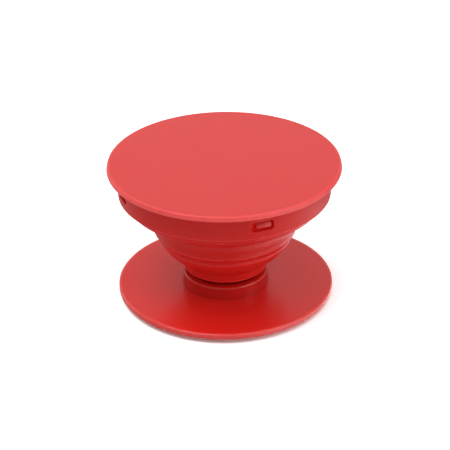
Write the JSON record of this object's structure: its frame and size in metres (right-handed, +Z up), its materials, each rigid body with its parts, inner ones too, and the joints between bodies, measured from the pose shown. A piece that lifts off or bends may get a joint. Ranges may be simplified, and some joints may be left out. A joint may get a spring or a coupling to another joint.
{
  "type": "collapsible phone grip",
  "caption": "Collapsible phone grip: a round flat cap on a stepped folding bellows that swivels in the collar of a round adhesive base.",
  "frame": {"origin": "centre of the adhesive pad's underside", "axes": "+Z up along the axis of the grip, X and Y through the windows of the skirt"},
  "size_m": [0.04, 0.04, 0.0247],
  "materials": {
    "foam_adhesive": "white acrylic foam, matt and tacky",
    "base_plastic": "red moulded plastic, satin gloss",
    "bellows_elastomer": "red moulded elastomer, satin",
    "cap_plastic": "red moulded plastic, fine matt grain"
  },
  "bodies": {
    "platform": {"base_platform": "base_plastic", "adhesive_pad": "foam_adhesive"},
    "folding_body": {"bellows": "bellows_elastomer"},
    "top": {"cap": "cap_plastic"}
  },
  "joints": [
    {"name": "swivel", "type": "hinge", "parent": "platform", "child": "folding_body", "pos_m": [0, 0, 0.0018], "axis": [0, 0, 1], "continuous": true},
    {"name": "collapse", "type": "slide", "parent": "folding_body", "child": "top", "axis": [0, 0, 1], "range_m": [-0.0164, 0], "deforming": ["bellows"]}
  ]
}
